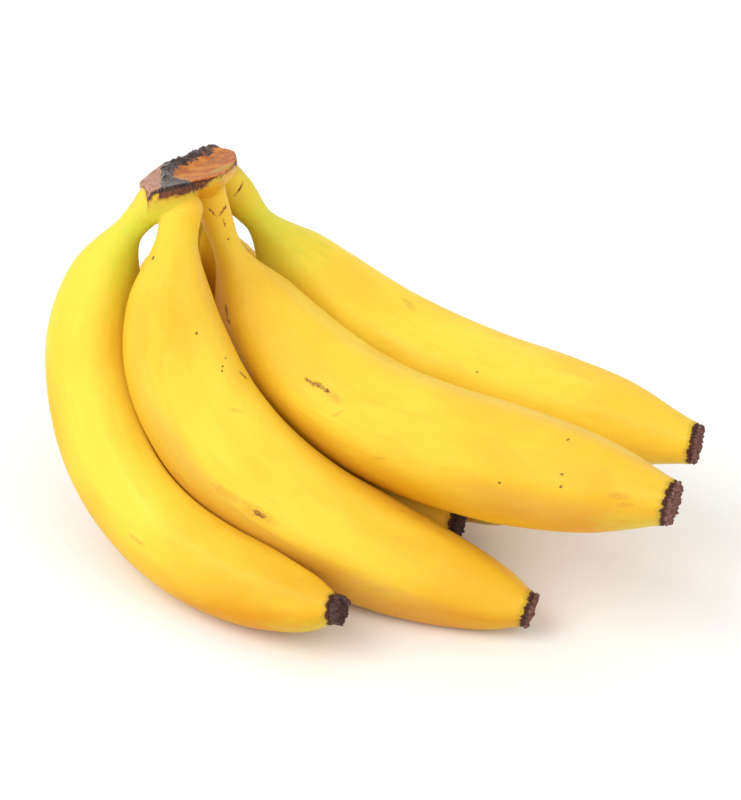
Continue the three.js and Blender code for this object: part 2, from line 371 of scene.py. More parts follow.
class Shade:
    """A material under construction, with short calls for its nodes."""

    def __init__(self, name):
        self.material = bpy.data.materials.new(name)
        self.material.use_nodes = True
        self.tree = self.material.node_tree
        self.shader = self.tree.nodes["Principled BSDF"]

    def put(self, socket, value):
        if isinstance(value, bpy.types.NodeSocket):
            self.tree.links.new(value, socket)
        else:
            socket.default_value = value

    def node(self, kind, inputs=None, **settings):
        node = self.tree.nodes.new("ShaderNode" + kind)
        for key, value in settings.items():
            setattr(node, key, value)
        for key, value in (inputs or {}).items():
            self.put(node.inputs[key], value)
        return node

    def attribute(self, name, output):
        return self.node("Attribute", attribute_name=name).outputs[output]

    def math(self, operation, first, second=0.0, clamp=False):
        inputs = {0: first, 1: second}
        return self.node("Math", inputs, operation=operation, use_clamp=clamp).outputs[0]

    def vector(self, operation, inputs, output="Vector"):
        return self.node("VectorMath", inputs, operation=operation).outputs[output]

    def ramp(self, value, low, high, to_low=0.0, to_high=1.0):
        inputs = {"Value": value, "From Min": low, "From Max": high, "To Min": to_low, "To Max": to_high}
        return self.node("MapRange", inputs, interpolation_type="SMOOTHSTEP").outputs["Result"]

    def scaled(self, vector, scale):
        return self.node("Mapping", {"Vector": vector, "Scale": scale}).outputs[0]

    def noise(self, vector, scale, detail=3.0, rough=0.55, output="Fac"):
        inputs = {"Vector": vector, "Scale": scale, "Detail": detail, "Roughness": rough}
        return self.node("TexNoise", inputs).outputs[output]

    def mix(self, share, first, second, kind="RGBA"):
        node = self.node("Mix", {"Factor": share}, data_type=kind)
        self.put(node.inputs["A"], first)
        self.put(node.inputs["B"], second)
        return node.outputs["Result"]

    def paint(self, colour, share, name):
        """A colour of the palette over another, by its share."""
        return self.mix(share, colour, tint(name))

    def times(self, first, second):
        return self.math("MULTIPLY", first, second)

    def plus(self, first, second, clamp=False):
        return self.math("ADD", first, second, clamp)

    def surface(self, colour, rough, normal):
        """Sets the shader's colour, roughness and normal, and hands over the material."""
        for key, value in (("Base Color", colour), ("Roughness", rough), ("Normal", normal)):
            self.put(self.shader.inputs[key], value)
        return self.material

    def bump(self, height, strength, distance, normal=None):
        inputs = {"Height": height, "Strength": strength, "Distance": distance * MM}
        if normal is not None:
            inputs["Normal"] = normal
        return self.node("Bump", inputs).outputs["Normal"]

    def blot(self, vector, place, turn, halves):
        """A soft-edged oval mask; turn is its tilt across the skin and its angle round the fruit."""
        inputs = {"Vector": vector, "Location": place, "Rotation": (turn[0], 0, turn[1]), "Scale": halves}
        local = self.node("Mapping", inputs, vector_type="TEXTURE").outputs[0]
        return self.ramp(self.vector("LENGTH", {0: local}, "Value"), 1.0, 0.45)


WAX = {
    "Specular IOR Level": 0.22, "Subsurface Weight": 0.12, "Subsurface Radius": (1.0, 0.6, 0.15),
    "Subsurface Scale": 0.003,
}
# Colours, as the values that a screen shows.
PALETTE = {
    # Amber is the peel's own warm tone, and also its painted shade where it faces down.
    "peel_pale": (245, 212, 68), "peel_amber": (212, 146, 4), "peel_strip": (226, 168, 40),
    # The tan at the end of the next line is painted shade, for bands below a ridge.
    "peel_grain": (214, 158, 48), "peel_green": (204, 212, 62), "peel_painted_band_shade": (205, 158, 74),
    "speck": (160, 104, 36), "rub": (190, 122, 48), "scar": (112, 56, 26), "dot": (96, 62, 26),
    "end_olive": (150, 134, 40), "end_brown": (74, 40, 28),
    # The pale colour at the end of the next line is a painted highlight: glints on the dried fibres.
    "fibre_crack": (56, 32, 28), "fibre_strand": (146, 94, 78), "fibre_painted_glint": (208, 166, 150),
    "fibre_patch": (110, 68, 56), "dark_crack": (30, 20, 20), "dark_strand": (74, 52, 54),
    "cut_orange": (208, 128, 40), "cut_tan": (176, 92, 26), "cut_grain": (158, 84, 36),
    "cut_ochre": (178, 150, 56), "cut_brown": (146, 84, 34),
    "band_dark": (80, 42, 24), "band_light": (118, 68, 40), "band_lip": (58, 26, 22),
    "skin_near_band": (200, 142, 30), "skin_at_band": (132, 64, 30),
    "ridge_dark": (30, 18, 16), "ridge_light": (84, 58, 48),
    "facet_dark": (148, 96, 76), "facet_light": (204, 158, 134), "facet_edge": (62, 36, 30),
    "floor_dark": (246, 246, 245), "floor_light": (250, 250, 249),
}


def tint(name):
    """A colour of the palette as the shader takes it."""
    parts = np.array(PALETTE[name]) / 255
    linear = np.where(parts > 0.04045, ((parts + 0.055) / 1.055) ** 2.4, parts / 12.92)
    return (*linear.tolist(), 1)


# How green each fruit's neck and end are, how far the green reaches down its neck, how much of it is left at
# the crown and on the neck's outside, how warm its skin is and how much warmer it gets towards its end.
HIDDEN_TONES = dict(neck=0.4, neck_reach=36, crown=0.35, outside=1, end=0.5, warmth_and_painted_shade=0.6, tip=0.2)
TONES = {
    "front": dict(neck=0.2, neck_reach=30, crown=0.35, outside=1, end=0.2, warmth_and_painted_shade=0.35, tip=0.35),
    "middle": dict(neck=0.2, neck_reach=26, crown=0.35, outside=1, end=0.4, warmth_and_painted_shade=0.3, tip=0.3),
    "right": dict(neck=0.75, neck_reach=50, crown=0.35, outside=1, end=0.25, warmth_and_painted_shade=0.2, tip=0.05),
    "left": dict(neck=0.9, neck_reach=56, crown=0.8, outside=0.45, end=0.4, warmth_and_painted_shade=0.05, tip=0.6),
    "under_front": HIDDEN_TONES,
    "under_right": HIDDEN_TONES,
}
# Painted shade: how far towards amber the peel is painted where it faces down.
UNDERSIDE_PAINTED_SHADE = 0.55
# Painted shade: tan bands below a ridge: where each starts, is full, fades and ends, in degrees round and along
# the fruit, and how strong.
PAINTED_BAND_SHADE = {
    "front": dict(turn=(86, 98, 128, 160), along=(48, 80, 150, 185), amount=0.45),
    "middle": dict(turn=(66, 80, 100, 130), along=(120, 150, 180, 200), amount=0.25),
}

# The dried ends: how far before the fruit's packed end its peel stops, how far the fibre reaches past that,
# how dark it is, how its face slants and to which side, and what curls off it: degrees round, length, half
# thickness and droop.
DRIED_ENDS = {
    "front": dict(start=2.6, reach=0.7, dark=0.2, slant=0.1, slant_turn=57, curls=[(5, 2.4, 0.7, 15)]),
    "middle": dict(start=2.1, reach=0.6, dark=0.05, slant=0.42, slant_turn=40, curls=[]),
    "right": dict(start=1.2, reach=0.5, dark=0.2, slant=0.4, slant_turn=41, curls=[(334, 1.6, 0.65, 10)]),
    "left": dict(start=2.8, reach=2.6, dark=0.85, slant=0.3, slant_turn=80, curls=[(12, 5.5, 0.95, 100)]),
    "under_front": dict(start=3.5, reach=2.2, dark=0.9, slant=0.2, slant_turn=60, curls=[(40, 2, 0.7, 30)]),
    "under_right": dict(start=2.4, reach=0.7, dark=0.5, slant=0, slant_turn=0, curls=[(320, 1.8, 0.6, 20)]),
}

# How the dried ends are drawn: rings and sides, ribs and torn jags as size, cells and shift of seed, how far
# the jags are sunk, how dark collar and curls are, and their height over the floor.
STUB_RINGS = 64
STUB_SIDES = 84
STUB_SEED = 40
STUB_RIBS = [(0.34, (1.1, 1.1, 3.5), 0), (0.2, (0.6, 0.6, 1.6), 5)]
STUB_JAGS = [(0.9, (1.4, 1.4, 40), 11), (0.6, (0.7, 0.7, 40), 13)]
JAG_LESS = 0.1
COLLAR_DARK = 0.75
CURL_DARK = 0.8
STUB_CLEAR = 0.05
# The curls: rings and sides, how far before the end's face and how far out they start, splay, where the tip
# rounds off, and lumps.
CURL_RINGS = 14
CURL_SIDES = 12
CURL_ROOT = 1.2
CURL_OUT = 0.82
CURL_SPLAY = 0.25
CURL_TIP = 0.85
CURL_LUMPS = 0.22
CURL_SEED = 71

# Scars and rubs on the skin: start and end as distance down the fruit and degrees round it, and half width.
SCARS = {
    "front": [((60.3, 1), (66, 350), 0.6), ((104, 85), (108, 84), 0.7)],
    "middle": [
        ((-4.5, 61), (-0.6, 35), 0.3), ((-0.6, 34), (-3, 341), 0.4), ((0.9, 17), (4.3, 15), 0.25),
        ((-8.2, 309), (-6.3, 307), 0.5), ((28, 84), (31.5, 82), 0.6), ((31.5, 86), (34, 80), 0.4),
        ((68, 43.5), (73.2, 43), 0.45), ((72.5, 43.5), (76, 40), 0.85), ((76, 41), (81, 41), 0.5),
    ],
    "right": [((-3.4, 347), (-2, 40), 0.35)],
    "under_front": [((70, 200), (77, 205), 0.5)],
    "under_right": [((95, 150), (101, 146), 0.5)],
}
RUBS = {
    "front": [
        ((71.7, 35), (75.8, 26), 0.6), ((88, 93), (99, 86), 1.5), ((98, 87), (112, 83), 1.8),
        ((79, 130), (84, 127), 1.2),
    ],
    "middle": [
        ((78, 41), (88, 44), 1.1), ((86.9, 59), (90.4, 49), 0.5), ((106, 80), (112.9, 74), 0.5),
        ((192, 60), (197, 56), 0.9), ((194, 72), (198, 70), 0.7),
    ],
    "right": [((73, 331), (81, 338), 1.3)],
    "left": [((120, 90), (127, 86), 0.8)],
    "under_right": [((60, 190), (72, 186), 1.2)],
}
# Dots: distance down the fruit, degrees round it and half width.
DOTS = {
    "front": [(17.1, 127, 0.55), (54.6, 21, 0.45), (56.2, 24, 0.4), (52.1, 13, 0.35), (39.1, 37, 0.5)],
    "middle": [(8.7, 22, 0.3), (156.4, 69, 0.4), (176.4, 46, 0.4), (177.2, 60, 0.45), (172.9, 4, 0.4)],
    "right": [(-4.5, 299, 0.7), (120, 20, 0.4)],
    "left": [(62.1, 1, 0.5)],
    "under_front": [(120, 150, 0.5)],
}
MARK_WOBBLE = 1.6
MARK_DEPTH = 4
MARK_SOFTNESS = 1.5
# The marks above this distance also lie on the crown's wraps. SKIN_APART sets the fruits' skins apart.
NECK_REACH = 16
SKIN_APART = 60


def skin_place(fruit, distance, angle):
    """Places on the unrolled skin, with each fruit's own set well apart from the others'."""
    radius = half_width(fruit, distance)
    across = radius * np.cos(np.radians(angle)) + SKIN_APART * FRUITS.index(fruit)
    return np.stack([across, radius * np.sin(np.radians(angle)), distance], -1)


def marks_of(fruit):
    """A fruit's marks: kind, start, end and half width."""
    name = fruit["name"]
    marks = [("dot", (ahead, turn), (ahead, turn), half) for ahead, turn, half in DOTS.get(name, [])]
    for kind, table in (("scar", SCARS), ("rub", RUBS)):
        marks += [(kind, *mark) for mark in table.get(name, [])]
    return marks


def mark_masks(shade, fruits, skin, before):
    """One mask for each kind of mark that these fruits have before a distance, with ragged edges."""
    wobble = shade.vector("SUBTRACT", {0: shade.noise(skin, 1.1, 3.0, 0.6, "Color"), 1: (0.5, 0.5, 0.5)})
    wobble = shade.vector("SCALE", {0: wobble, "Scale": MARK_WOBBLE})
    warped = shade.vector("ADD", {0: skin, 1: wobble})
    masks = {}
    for fruit in fruits:
        for kind, first, last, half in marks_of(fruit):
            if first[0] >= before:
                continue
            middle = np.array([(first[0] + last[0]) / 2])
            turn = math.radians((last[1] - first[1] + 180) % 360 - 180)
            angle = math.radians(first[1]) + turn / 2
            ahead = last[0] - first[0]
            across = turn * float(half_width(fruit, middle)[0])
            tilt = -math.atan2(across, ahead) if kind != "dot" else 0
            place = skin_place(fruit, middle, np.array([math.degrees(angle)]))[0].tolist()
            edge = half * MARK_SOFTNESS
            reach = (MARK_DEPTH, edge, math.hypot(ahead, across) / 2 + edge)
            blot = shade.blot(warped, place, (tilt, angle), reach)
            masks[kind] = shade.math("MAXIMUM", masks[kind], blot) if kind in masks else blot
    return masks


def specks(shade, skin):
    """A mask of small specks, one in some of the cells over the skin."""
    cells = shade.node("TexVoronoi", {"Vector": skin, "Scale": 0.16}, feature="F1")
    chance = shade.node("SeparateColor", {"Color": cells.outputs["Color"]}).outputs["Red"]
    size = shade.ramp(chance, 0.84, 1.0, 0.0, 0.06)
    speck = shade.ramp(shade.math("SUBTRACT", cells.outputs["Distance"], size), 0.012, -0.015)
    return shade.times(speck, shade.ramp(chance, 0.84, 0.86))


def skin_shading(shade, fruits, before=math.inf):
    """Waxy yellow peel: green by its layer, painted shade on its undersides and in bands below a ridge, faint
    strips along the fruit, specks, rubs and scars.
    """
    skin = shade.attribute("skin", "Vector")
    green, painted_band_shade, warmth_and_painted_shade, dried = (shade.attribute(key, "Fac") for key in ("green", "painted_band_shade", "warmth_and_painted_shade", "dried"))
    clouds = shade.noise(shade.scaled(skin, (0.045, 0.045, 0.02)), 1.0, 3.0, 0.5)
    strips = shade.noise(shade.scaled(skin, (0.5, 0.5, 0.028)), 1.0, 4.0, 0.55)
    grain = shade.noise(shade.scaled(skin, (2.2, 2.2, 0.6)), 1.0, 2.0, 0.6)

    # The warmth layer mixes the peel's own warmth with painted shade where it faces down; at its full the peel
    # is amber.
    tone = shade.plus(warmth_and_painted_shade, shade.ramp(clouds, 0.3, 0.7, -0.18, 0.18), True)
    colour = shade.mix(tone, tint("peel_pale"), tint("peel_amber"))
    colour = shade.paint(colour, shade.ramp(strips, 0.45, 0.8, 0.0, 0.16), "peel_strip")
    colour = shade.paint(colour, shade.ramp(grain, 0.5, 0.8, 0.0, 0.08), "peel_grain")
    leafy = shade.plus(green, shade.ramp(strips, 0.3, 0.7, -0.1, 0.1), True)
    colour = shade.paint(colour, shade.times(leafy, shade.ramp(green, 0.02, 0.2)), "peel_green")
    # Painted shade: tan bands below a ridge.
    band_shade_share = shade.times(painted_band_shade, shade.ramp(strips, 0.3, 0.6, 0.45, 1.0))
    colour = shade.paint(colour, band_shade_share, "peel_painted_band_shade")
    colour = shade.paint(colour, shade.times(specks(shade, skin), 0.35), "speck")

    masks = mark_masks(shade, fruits, skin, before)
    broken = shade.ramp(grain, 0.35, 0.6, 0.35, 1.0)
    strengths = {"rub": shade.times(broken, 0.4), "scar": broken, "dot": 0.85}
    for kind, strength in strengths.items():
        if kind in masks:
            colour = shade.paint(colour, shade.times(masks[kind], strength), kind)
    pitted = shade.math("MAXIMUM", masks["scar"], masks.get("dot", 0.0)) if "scar" in masks else 0.0

    edge = shade.plus(dried, shade.ramp(strips, 0.3, 0.7, -0.2, 0.2))
    colour = shade.paint(colour, shade.ramp(edge, 0.1, 0.6, 0.0, 0.45), "end_olive")
    colour = shade.paint(colour, shade.ramp(edge, 0.68, 0.9), "end_brown")

    soft = shade.bump(shade.noise(shade.scaled(skin, (0.12, 0.12, 0.03)), 1.0, 2.0), 0.4, 0.8)
    fibre = shade.bump(strips, 0.12, 0.3, soft)
    normal = shade.bump(shade.math("SUBTRACT", shade.times(grain, 0.3), pitted), 0.25, 0.3, fibre)
    rough = shade.plus(shade.ramp(clouds, 0.3, 0.7, 0.4, 0.48), shade.ramp(painted_band_shade, 0.0, 1.0, 0.0, 0.12))
    rough = shade.plus(rough, shade.ramp(edge, 0.4, 0.8, 0, 0.3))
    return colour, rough, normal


def waxy(shade):
    """The thin shine of peel and the little light that passes into it."""
    for key, value in WAX.items():
        shade.shader.inputs[key].default_value = value


def peel_material(fruit):
    shade = Shade("peel_" + fruit["name"])
    waxy(shade)
    return shade.surface(*skin_shading(shade, [fruit]))


def soft_band(value, start, full, fade, end):
    return ease(start, full, value) * (1 - ease(fade, end, value))


def skin_layers(fruit, distance, angle):
    """Values on every point that the peel's material reads."""
    tone = TONES[fruit["name"]]
    length = fruit["length"]
    _, _, inward, side = stations(fruit, distance)
    towards_inside = np.cos(np.radians(angle))
    facing = towards_inside * inward[:, 2] + np.sin(np.radians(angle)) * side[:, 2]
    # Painted shade: amber painted onto the peel where it faces down, on top of the fruit's own warmth and its
    # warmer end.
    warmth_and_painted_shade = tone["warmth_and_painted_shade"] * 0.6 + UNDERSIDE_PAINTED_SHADE * ease(0.5, -0.5, facing)
    warmth_and_painted_shade = warmth_and_painted_shade + tone["tip"] * ease(0.55 * length, 0.95 * length, distance)
    neck = tone["neck"] * (1 - ease(4, tone["neck_reach"], distance))
    neck *= tone["crown"] + (1 - tone["crown"]) * ease(-2, 12, distance)
    neck *= tone["outside"] + (1 - tone["outside"]) * ease(-0.6, 0.7, towards_inside)
    end = tone["end"] * ease(length - 34, length - 7, distance) * ease(0.4, -0.7, facing)
    # Painted shade: tan bands below a ridge, on two fruits.
    painted_band_shade = np.zeros_like(distance)
    if fruit["name"] in PAINTED_BAND_SHADE:
        spec = PAINTED_BAND_SHADE[fruit["name"]]
        painted_band_shade = spec["amount"] * soft_band(angle, *spec["turn"]) * soft_band(distance, *spec["along"])
    peel_end = length - DRIED_ENDS[fruit["name"]]["start"]
    dried = ease(peel_end - 3.6, peel_end - 0.3, distance)
    skin = skin_place(fruit, distance, angle)
    return {"skin": skin, "green": np.clip(neck + end, 0, 1), "painted_band_shade": painted_band_shade, "warmth_and_painted_shade": warmth_and_painted_shade, "dried": dried}


def make_fruit(fruit, earlier):
    """A fruit's peel, pushed clear of the fruits made earlier and flattened where it rests."""
    name = fruit["name"]
    end = fruit["length"] - DRIED_ENDS[name]["start"]
    distance = np.linspace(PEEL_START, end, FRUIT_RINGS)
    angle = turns(FRUIT_SIDES)
    radius = half_width(fruit, distance)[:, None] * ridge_shape(fruit, angle[None], distance[:, None])
    grid = straightened(radius, distance)
    for height, cells, shift in LUMPS:
        seed = FRUITS.index(fruit) + PEEL_SEED + shift
        radius = radius + height * lattice_noise(grid / np.array(cells), seed)
    radius *= 1 - END_ROUNDING * ease(end - END_ROUNDING_REACH, end, distance)[:, None] ** 2
    points = tube(fruit, distance, radius)
    points += end_slant(fruit, distance, radius, ease(end - SLANT_REACH, end, distance))
    points = points.reshape(-1, 3)
    for neighbour in earlier:
        points = push_clear(points, neighbour)
    over = points[:, 2] - SKIM
    rested = SKIM + 0.5 * (over + np.sqrt(over**2 + FLOOR_SOFTNESS))
    points[:, 2] = np.where(over < FLOOR_NEAR, rested, points[:, 2])
    layers = skin_layers(fruit, np.repeat(distance, FRUIT_SIDES), np.tile(angle, FRUIT_RINGS))
    faces = tube_faces(FRUIT_RINGS, FRUIT_SIDES)
    make_mesh("peel_" + name, points, faces, layers, "peel", peel_material(fruit), "banana_" + name)


def flower_material():
    """Dried fibre: dark brown cracks, pinkish-brown strands and pale painted glints on the fibres, with a
    darker collar.
    """
    shade = Shade("dried_flower")
    skin = shade.attribute("skin", "Vector")
    fibre = shade.noise(shade.scaled(skin, (1.5, 1.5, 0.55)), 1.0, 4.0, 0.7)
    patch = shade.noise(skin, 0.5, 2.0, 0.5)
    colour = shade.mix(shade.ramp(fibre, 0.38, 0.56), tint("fibre_crack"), tint("fibre_strand"))
    # Painted highlight: pale glints on the fibres.
    colour = shade.paint(colour, shade.ramp(fibre, 0.56, 0.7, 0.0, 0.85), "fibre_painted_glint")
    colour = shade.paint(colour, shade.ramp(patch, 0.45, 0.7, 0.0, 0.5), "fibre_patch")
    shadow = shade.mix(shade.ramp(fibre, 0.4, 0.65), tint("dark_crack"), tint("dark_strand"))
    colour = shade.mix(shade.attribute("dark", "Fac"), colour, shadow)
    shade.shader.inputs["Specular IOR Level"].default_value = 0.3
    return shade.surface(colour, shade.ramp(fibre, 0.4, 0.7, 0.6, 0.9), shade.bump(fibre, 0.7, 0.6))


def curl(fruit, base, angle, length, thick, droop):
    """A dried remnant that leaves the end's rim along the fruit and droops: rings of points."""
    ends = DRIED_ENDS[fruit["name"]]
    at = np.array([fruit["length"] - ends["start"] + ends["reach"] - CURL_ROOT])
    place, direction, inward, side = (values[0] for values in stations(fruit, at))
    turn = math.radians(angle)
    outward = math.cos(turn) * inward + math.sin(turn) * side
    point = place + outward * base * CURL_OUT
    heading = unit(direction + CURL_SPLAY * outward)
    level = unit(np.cross(heading, (0, 0, 1)))
    lift = np.cross(level, heading)
    around = np.radians(turns(CURL_SIDES))
    points = []
    for share in np.arange(CURL_RINGS) / (CURL_RINGS - 1):
        bend = math.radians(droop) * share**1.5
        ahead = math.cos(bend) * heading - math.sin(bend) * lift
        above = math.cos(bend) * lift + math.sin(bend) * heading
        past = max(share - CURL_TIP, 0) / (1 - CURL_TIP)
        radius = thick * (1.15 - 0.35 * share) * (math.sqrt(1.02 - past**2) if past > 0 else 1)
        grid = np.stack([np.cos(around) * 1.5, np.sin(around) * 1.5,
                         np.full(CURL_SIDES, share * length * 0.9)], -1)
        radius = radius * (1 + CURL_LUMPS * lattice_noise(grid, CURL_SEED))
        out = np.cos(around)[:, None] * level + np.sin(around)[:, None] * above
        points.append(point + out * radius[:, None])
        point = point + ahead * length / (CURL_RINGS - 1)
    return np.concatenate(points), tube_faces(CURL_RINGS, CURL_SIDES)


def stub_profile(reach, base):
    """How far ahead and how wide each ring of a dried end is, from under the peel to its sunken middle."""
    knots = np.array([
        (-2.4, 0.8), (-1.2, 0.9), (-0.3, 0.93), (0.1, 0.96), (0.5 * reach, 0.98), (0.85 * reach, 0.95),
        (reach, 0.88), (reach - 0.05, 0.74), (reach - 0.15, 0.5), (reach - 0.2, 0.28), (reach - 0.15, 0.04),
    ])
    fine = np.linspace(0, len(knots) - 1, STUB_RINGS)
    ahead, share = (np.interp(fine, np.arange(len(knots)), column) for column in knots.T)
    return ahead, share * base


def make_flower_end(fruit, material):
    """A fibrous stub with a collar, a torn rim and a sunken middle, and what curls off it."""
    name = fruit["name"]
    ends = DRIED_ENDS[name]
    start = fruit["length"] - ends["start"]
    base = half_width(fruit, np.array([start]))[0]
    ahead, radius = stub_profile(ends["reach"], base)
    radius = radius[:, None] * np.ones(STUB_SIDES)
    seed = STUB_SEED + FRUITS.index(fruit)
    grid = straightened(radius, ahead)

    def rough(specs):
        return [size * lattice_noise(grid / np.array(cells), seed + shift) for size, cells, shift in specs]

    torn = ease(-0.2, 0.3, ahead)[:, None]
    points = tube(fruit, start + ahead, radius + sum(rough(STUB_RIBS)) * torn)
    direction = stations(fruit, start + ahead)[1]
    jag = sum(np.abs(part) for part in rough(STUB_JAGS)) - JAG_LESS
    loose = ease(0, 0.8 * ends["reach"], ahead)[:, None]
    points += direction[:, None] * (jag * loose)[..., None]
    points += end_slant(fruit, start + ahead, radius, np.ones(STUB_RINGS))
    points = points.reshape(-1, 3)
    faces = tube_faces(STUB_RINGS, STUB_SIDES)
    collar = COLLAR_DARK * (1 - ease(0.1, 0.5, ahead))[:, None] * np.ones(STUB_SIDES)
    dark = np.maximum(ends["dark"], collar).ravel()
    skin = grid.reshape(-1, 3)
    for spec in ends["curls"]:
        extra, extra_faces = curl(fruit, base, *spec)
        faces += [[corner + len(points) for corner in face] for face in extra_faces]
        points = np.concatenate([points, extra])
        skin = np.concatenate([skin, extra - extra.mean(0)])
        dark = np.concatenate([dark, np.full(len(extra), max(ends["dark"], CURL_DARK))])
    points[:, 2] = np.maximum(points[:, 2], STUB_CLEAR)
    layers = {"skin": skin, "dark": dark}
    make_mesh("stub_" + name, points, faces, layers, "flower_end", material, "flower_end_" + name)


def cut_plane():
    """The middle of the crown's cut top, and its directions across, along and up."""
    turned = Matrix.Identity(3)
    for angle, axis in ((CUT_TURN, "Z"), (CUT_FALL, "X"), (CUT_ROLL, "Y")):
        turned = turned @ Matrix.Rotation(math.radians(-angle), 3, axis)
    middle = np.array(CUT_MIDDLE) - np.array([*BOX_MIDDLE, PRESSED])
    return middle, np.array(turned)


def on_cut(points):
    """Places in the cut's own directions: across, along and up."""
    middle, turned = cut_plane()
    return (points - middle) @ turned


def from_rim_middle(across, along):
    return np.hypot(across - RIM_MIDDLE[0], along - RIM_MIDDLE[1])


def rim_reach(across, along):
    """How far the rim lies from its middle, in the direction of each place on the cut."""
    angle = np.degrees(np.arctan2(along - RIM_MIDDLE[1], across - RIM_MIDDLE[0]))
    before = [(turn - 360, reach) for turn, reach in RIM_REACH[-2:]]
    after = [(turn + 360, reach) for turn, reach in RIM_REACH[:2]]
    return curve_through(before + RIM_REACH + after, angle)


def past_facet_edge(across, along):
    """How far each place lies to the left of the line where the torn facet starts."""
    turn = math.radians(FACET_TURN)
    return -(across - FACET_EDGE[0]) * math.cos(turn) - (along - FACET_EDGE[1]) * math.sin(turn)


def past_flap_edge(across, along, deep):
    """The same on the crown's wall, where the torn flap's edge leans outwards as it goes down."""
    return past_facet_edge(across, along) - FLAP_TILT * np.maximum(deep - 1, 0)


def beyond_rim(across, along):
    """How far a place on the torn left side lies outside the rim; well below nothing elsewhere."""
    beyond = from_rim_middle(across, along) - rim_reach(across, along)
    return beyond - FAR_INSIDE * (1 - ease(*FLAP_SIDE, past_facet_edge(across, along)))


def off_ridge(across, along):
    """Each place's distance across from the torn ridge's line, and the ridge's height there."""
    places, beside, height = np.array(TORN_RIDGE).T
    return across - np.interp(along, places, beside), np.interp(along, places, height)


def band_depth(across, along, deep):
    """How deep the dried band reaches: least on the right and most on the torn left."""
    depth = BAND_DEPTH - BAND_LESS * ease(*BAND_RIGHT, across)
    flap = FLAP_DEPTH * ease(*FLAP_BACK, along)
    return depth + (flap - depth) * ease(-0.5, 0.5, past_flap_edge(across, along, deep))


def cut_height(across, along):
    """The cut surface over its plane: dished, with a torn ridge along its left and a facet beyond that."""
    out = from_rim_middle(across, along) / rim_reach(across, along)
    dish = -DISH_DEPTH * (1 - np.clip(out, 0, 1) ** 2)
    grid = np.stack([across / CUT_CELLS[0], along / CUT_CELLS[1], np.zeros_like(across)], -1)
    rough = lattice_noise(grid, 21)
    fine = lattice_noise(grid * FINE_CELLS, 22)
    off, tall = off_ridge(across, along)
    near = np.exp(-((off + 0.6 * rough) / RIDGE_SPREAD) ** 2)
    ridge = tall * (1 + 0.4 * rough + 0.16 * fine) * near
    past = past_facet_edge(across, along)
    facet = -FACET_SLOPE * 0.5 * (past + np.sqrt(past**2 + 0.1))
    return dish + ridge + facet + 0.14 * fine


def smooth_least(first, second, reach):
    """The lesser of two values, rounded where they lie within reach of one another."""
    share = np.clip(0.5 + 0.5 * (second - first) / reach, 0, 1)
    return second + (first - second) * share - reach * share * (1 - share)


def neck_distance(fruit, points):
    """Distance to the crown's wrap round a fruit's neck, and the nearest place along the neck."""
    reach = np.array((NECK_START[fruit["name"]],) + NECK_PLACES)
    extra = np.array(WIDER_WRAPS.get(fruit["name"], NECK_WRAP))
    if reach[0] > 0:
        reach, extra = np.delete(reach, 1), np.delete(extra, 1)
    place = stations(fruit, reach)[0]
    width = half_width(fruit, reach) + extra
    least = np.full(points.shape[:-1], np.inf)
    at = np.zeros(points.shape[:-1])
    for i in range(len(reach) - 1):
        step = place[i + 1] - place[i]
        share = np.clip(((points - place[i]) @ step) / (step @ step), 0, 1)
        away = np.linalg.norm(points - place[i] - share[..., None] * step, axis=-1)
        away -= width[i] + share * (width[i + 1] - width[i])
        at = np.where(away < least, reach[i] + share * (reach[i + 1] - reach[i]), at)
        least = np.minimum(least, away)
    return least, at


def crown_field(points):
    """Distance to the crown's surface, less than nothing inside."""
    local = on_cut(points)
    across, along, up = np.moveaxis(local, -1, 0)
    deep = np.maximum(-up, 0)
    wrinkle = lattice_noise(local / np.array(WRINKLE_CELLS), 31)
    band = 1 - ease(-0.4, 0.5, deep - band_depth(across, along, deep))
    reach = rim_reach(across, along) + band * (0.1 + 0.3 * wrinkle)
    reach -= WALL_DRAWN * ease(*WALL_DEPTHS, deep)
    wall = (from_rim_middle(across, along) - reach) * 0.8
    core = -smooth_least(-wall, up + CORE_DEPTH, JOIN_FLOOR)
    necks = neck_distance(FRUITS[0], points)[0]
    for fruit in FRUITS[1:]:
        necks = smooth_least(necks, neck_distance(fruit, points)[0], JOIN_NECKS)
    body = smooth_least(core, necks, JOIN_CORE)
    top = up - cut_height(across, along)
    return -smooth_least(-body, -top, JOIN_CUT)


def crown_layers(points):
    """Values that the crown's material reads; its skin carries on from the nearest fruit's."""
    local = on_cut(points)
    across, along, up = local.T
    least = np.full(len(points), np.inf)
    layers = {}
    for fruit in FRUITS:
        wrap, at = neck_distance(fruit, points)
        place, _, inward, side = stations(fruit, at)
        offset = points - place
        angle = np.degrees(np.arctan2((offset * side).sum(1), (offset * inward).sum(1))) % 360
        closer = wrap < least
        least = np.where(closer, wrap, least)
        for key, values in skin_layers(fruit, at, angle).items():
            chosen = closer[:, None] if values.ndim == 2 else closer
            layers[key] = np.where(chosen, values, layers.get(key, values))
    layers.update(
        cut_place=local, below=cut_height(across, along) - up,
        past_edge=past_flap_edge(across, along, -up), beyond=beyond_rim(across, along),
        off_ridge=off_ridge(across, along)[0], band=band_depth(across, along, -up),
    )
    return layers


